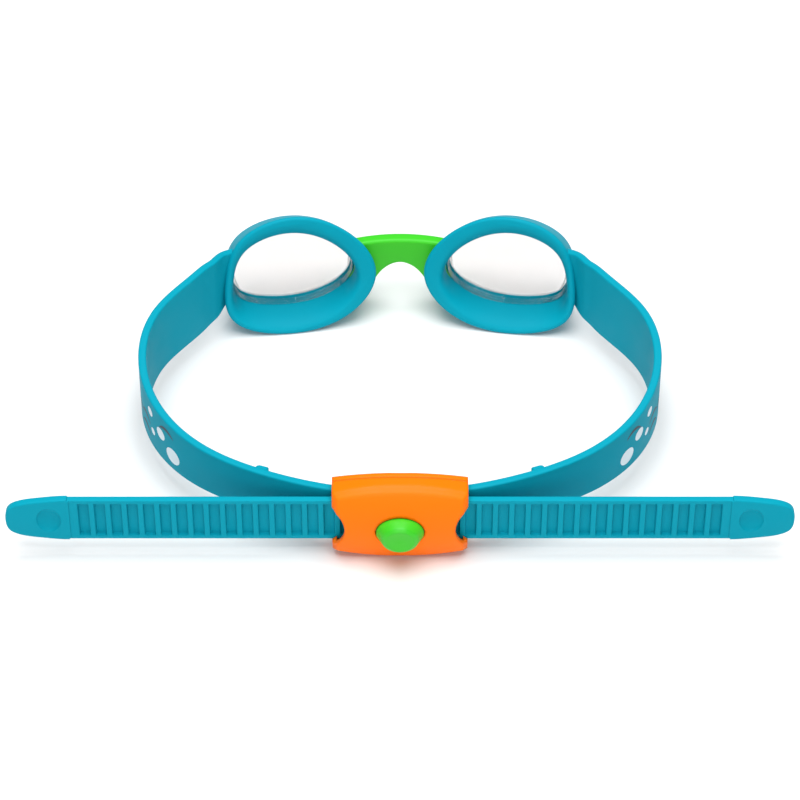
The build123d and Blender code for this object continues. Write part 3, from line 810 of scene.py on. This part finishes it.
def moulded(name, colour, roughness, ior, edge, grain_mm, grain_depth, sheen, subsurface=0.0):
    """A moulded plastic or rubber: even colour, soft edges, and the fine grain of its mould.

    A satin mould's grain is some 0.05 mm across.  It is drawn about ten times coarser, at grain_mm, so
    that it shows.  The gloss varies a little in patches, as on a mould that is finished by hand.
    """
    material = new_material(name)
    place = node(material, "TexCoord").outputs["Object"]
    soft_edge = node(material, "Bevel", {"samples": 6, "Radius": edge * MM})
    grain = node(
        material,
        "TexNoise",
        {"Scale": 1 / (grain_mm * MM), "Detail": 3.0, "Roughness": 0.55},
        {"Vector": place},
    )
    bump = node(
        material,
        "Bump",
        {"Strength": 0.35, "Distance": grain_depth * MM},
        {"Height": grain.outputs["Fac"], "Normal": soft_edge.outputs["Normal"]},
    )
    patches = node(
        material, "TexNoise", {"Scale": 1 / (GLOSS_PATCH * MM), "Detail": 2.0}, {"Vector": place}
    )
    gloss = node(
        material,
        "MapRange",
        {"From Min": 0.3, "From Max": 0.7, "To Min": roughness - 0.04, "To Max": roughness + 0.05},
        {"Value": patches.outputs["Fac"]},
    )
    surface = node(
        material,
        "BsdfPrincipled",
        {
            "Base Color": linear(colour),
            "IOR": ior,
            "Subsurface Weight": subsurface,
            "Subsurface Radius": (0.6, 0.9, 1.0),
            "Subsurface Scale": 1.2 * MM,
            "Specular IOR Level": sheen,
        },
        {"Roughness": gloss.outputs["Result"], "Normal": bump.outputs["Normal"]},
    )
    return close(material, surface.outputs["BSDF"])


# Liquid silicone from a satin-blasted mould: a soft broad sheen, rounded edges, a little depth.
turquoise_silicone = moulded(
    "turquoise_moulded_silicone",
    "#0094AA",
    roughness=0.55,
    ior=SILICONE_IOR,
    edge=0.35,
    grain_mm=0.5,
    grain_depth=0.02,
    sheen=0.1,
    subsurface=0.06,
)
green_silicone = moulded(
    "green_moulded_silicone",
    "#3BC223",
    roughness=0.38,
    ior=SILICONE_IOR,
    edge=0.5,
    grain_mm=0.5,
    grain_depth=0.02,
    sheen=0.3,
    subsurface=0.06,
)
# ABS from a lightly polished mould: a semi-gloss skin with crisp but not sharp edges.
orange_abs = moulded(
    "orange_moulded_abs",
    "#FF7400",
    roughness=0.36,
    ior=ABS_IOR,
    edge=1.4,
    grain_mm=0.4,
    grain_depth=0.012,
    sheen=0.1,
)
green_abs = moulded(
    "green_moulded_abs",
    "#37BE20",
    roughness=0.32,
    ior=ABS_IOR,
    edge=0.8,
    grain_mm=0.4,
    grain_depth=0.012,
    sheen=0.3,
)
# Natural acetal: milky, waxy, slightly rough from its mould.
natural_acetal = moulded(
    "natural_moulded_acetal",
    "#E6E4DC",
    roughness=0.38,
    ior=ACETAL_IOR,
    edge=0.2,
    grain_mm=0.4,
    grain_depth=0.01,
    sheen=0.5,
    subsurface=0.2,
)


def drawn_stainless_steel():
    """Steel wire and pins, drawn and then tumbled: fine lines along the metal, a soft glint.

    Real draw lines are far finer than the 1.2 mm noise that is drawn out here, which is as coarse as it
    needs to be to show.
    """
    material = new_material("drawn_stainless_steel")
    place = node(material, "TexCoord").outputs["Object"]
    stretch = node(material, "Mapping", {"Scale": (6.0, 6.0, 0.6)}, {"Vector": place})
    lines = node(
        material,
        "TexNoise",
        {"Scale": 1 / (DRAWN_LINE * MM), "Detail": 2.0},
        {"Vector": stretch.outputs["Vector"]},
    )
    gloss = node(material, "MapRange", {"To Min": 0.22, "To Max": 0.40}, {"Value": lines.outputs["Fac"]})
    surface = node(
        material,
        "BsdfPrincipled",
        {"Base Color": linear("#C4C6CA"), "Metallic": 1.0},
        {"Roughness": gloss.outputs["Result"]},
    )
    return close(material, surface.outputs["BSDF"])


def clear_polished_polycarbonate():
    """Injected lenses: clear and polished, with a faint grey where they are seen edge on.

    Shadow rays, rays inside the skirt and nearly half of the rest go straight on, as thin walls hardly
    bend the light.
    """
    material = new_material("clear_polished_polycarbonate")
    place = node(material, "TexCoord").outputs["Object"]
    flow = node(material, "TexNoise", {"Scale": 1 / (LENS_FLOW * MM), "Detail": 1.0}, {"Vector": place})
    gloss = node(material, "MapRange", {"To Min": 0.02, "To Max": 0.06}, {"Value": flow.outputs["Fac"]})
    surface = node(
        material,
        "BsdfPrincipled",
        {"Base Color": linear("#F6F4F3"), "IOR": POLYCARBONATE_IOR, "Transmission Weight": 1.0},
        {"Roughness": gloss.outputs["Result"]},
    )
    straight_on = node(material, "BsdfTransparent", {"Color": linear("#F4F2F1")})
    ray = node(material, "LightPath")
    inside = node(
        material,
        "Math",
        {"operation": "GREATER_THAN", 1: INSIDE_SKIRT},
        {0: ray.outputs["Transmission Depth"]},
    )
    passes = node(
        material,
        "Math",
        {"operation": "MAXIMUM"},
        {0: inside.outputs["Value"], 1: ray.outputs["Is Shadow Ray"]},
    )
    share = node(
        material, "Math", {"operation": "MAXIMUM", 1: STRAIGHT_SHARE}, {0: passes.outputs["Value"]}
    )
    mix = node(
        material,
        "MixShader",
        links={0: share.outputs["Value"], 1: surface.outputs["BSDF"], 2: straight_on.outputs["BSDF"]},
    )
    return close(material, mix.outputs["Shader"])


def ink(name, colour):
    """Pad-printed silicone ink: thin, matt and a little uneven, with its fine tooth drawn coarse to show."""
    material = new_material(name)
    place = node(material, "TexCoord").outputs["Object"]
    tooth = node(material, "TexNoise", {"Scale": 1 / (INK_TOOTH * MM), "Detail": 4.0}, {"Vector": place})
    matt = node(material, "MapRange", {"To Min": 0.5, "To Max": 0.7}, {"Value": tooth.outputs["Fac"]})
    surface = node(
        material,
        "BsdfPrincipled",
        {"Base Color": linear(colour), "IOR": INK_IOR},
        {"Roughness": matt.outputs["Result"]},
    )
    return close(material, surface.outputs["BSDF"])


def white_matt_table():
    """A painted table top: nearly white and matt, so that it takes soft shadows and gives no glare."""
    material = new_material("white_matt_table")
    place = node(material, "TexCoord").outputs["Object"]
    tooth = node(material, "TexNoise", {"Scale": 1 / (TABLE_TOOTH * MM), "Detail": 2.0}, {"Vector": place})
    matt = node(material, "MapRange", {"To Min": 0.80, "To Max": 0.90}, {"Value": tooth.outputs["Fac"]})
    surface = node(
        material,
        "BsdfPrincipled",
        {"Base Color": linear("#EBEBEB"), "Specular IOR Level": 0.2},
        {"Roughness": matt.outputs["Result"]},
    )
    return close(material, surface.outputs["BSDF"])


drawn_steel = drawn_stainless_steel()
clear_polycarbonate = clear_polished_polycarbonate()
pale_ink = ink("pale_printed_ink", "#DCE8EE")
dark_ink = ink("dark_printed_ink", "#1F4654")


# ---------------------------------------------------------------- dressing the goggles
def dress(piece, material):
    """Gives an object one material."""
    if not piece.material_slots:
        piece.data.materials.append(material)
    for holder in piece.material_slots:
        holder.link = "OBJECT"
        holder.material = material


for name, material in (
    ("left_lens", clear_polycarbonate),
    ("right_lens", clear_polycarbonate),
    ("clip_cover", orange_abs),
    ("clip_back_plate", orange_abs),
    ("push_button", green_abs),
    ("nose_bridge", green_silicone),
    ("button_spring", drawn_steel),
):
    dress(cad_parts[name], material)
for side in ("left", "right"):
    for name, material in (
        ("pawl", natural_acetal),
        ("pawl_pin", drawn_steel),
        ("turn_bar", drawn_steel),
        ("eye_seal", turquoise_silicone),
        ("strap", turquoise_silicone),
        ("ladder_tail", turquoise_silicone),
    ):
        dress(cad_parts[f"{side}_{name}"], material)

for piece, material, slot, body in (
    (left_silicone, turquoise_silicone, "silicone_blue", "goggles"),
    (right_silicone, turquoise_silicone, "silicone_blue", "goggles"),
    (pale_print, pale_ink, "silicone_blue", "goggles"),
    (dark_print, dark_ink, "silicone_blue", "goggles"),
    (right_pale_print, pale_ink, "silicone_blue", "goggles"),
    (right_dark_print, dark_ink, "silicone_blue", "goggles"),
    (bridge, green_silicone, "silicone_green", "goggles"),
    (spring, drawn_steel, "steel", "goggles"),
    (cover, orange_abs, "abs_orange", "goggles"),
    (button, green_abs, "abs_green", "button"),
):
    dress(piece, material)
    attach(piece, body)
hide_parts("left_eye_seal", "left_strap", "left_ladder_tail")
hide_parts("right_eye_seal", "right_strap", "right_ladder_tail")
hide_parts("nose_bridge")
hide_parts("button_spring")
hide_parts("clip_cover")
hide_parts("push_button")
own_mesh(spring)

# ---------------------------------------------------------------- table, light and camera, in metres
TABLE_HALF = 9.0
ROOM_LIGHT = 0.28

table_mesh = bpy.data.meshes.new("table")
work = bmesh.new()
bmesh.ops.create_grid(work, x_segments=8, y_segments=8, size=TABLE_HALF)
work.to_mesh(table_mesh)
work.free()
table = placed("table", table_mesh)
dress(table, white_matt_table())

# an even white room
studio = bpy.data.worlds.new("studio")
studio.use_nodes = True
background = studio.node_tree.nodes["Background"]
background.inputs["Color"].default_value = linear("#FFFFFF")
background.inputs["Strength"].default_value = ROOM_LIGHT
bpy.context.scene.world = studio

# a large softbox overhead, and a wide one beyond the clip that lights the faces turned to the viewer
for name, place, tilt, wide, tall, watts in (
    ("overhead_softbox", (0.0, -0.1, 1.1), 0, 0.9, 1.1, 18.5),
    ("front_softbox", (0.0, -1.6, 0.75), 65, 1.2, 0.8, 8.5),
):
    softbox = bpy.data.lights.new(name, "AREA")
    softbox.shape = "RECTANGLE"
    softbox.size = wide
    softbox.size_y = tall
    softbox.energy = watts
    lamp = placed(name, softbox)
    lamp.location = place
    lamp.rotation_euler = (radians(tilt), 0, 0)

lens_view = bpy.data.cameras.new("camera")
lens_view.lens = 137.76
lens_view.sensor_width = 36.0
camera = placed("camera", lens_view)
camera.location = (0.0, -0.6490, 0.58725)
camera.rotation_euler = (radians(48.32), 0, 0)
bpy.context.scene.camera = camera
bpy.context.scene.view_settings.view_transform = "Standard"
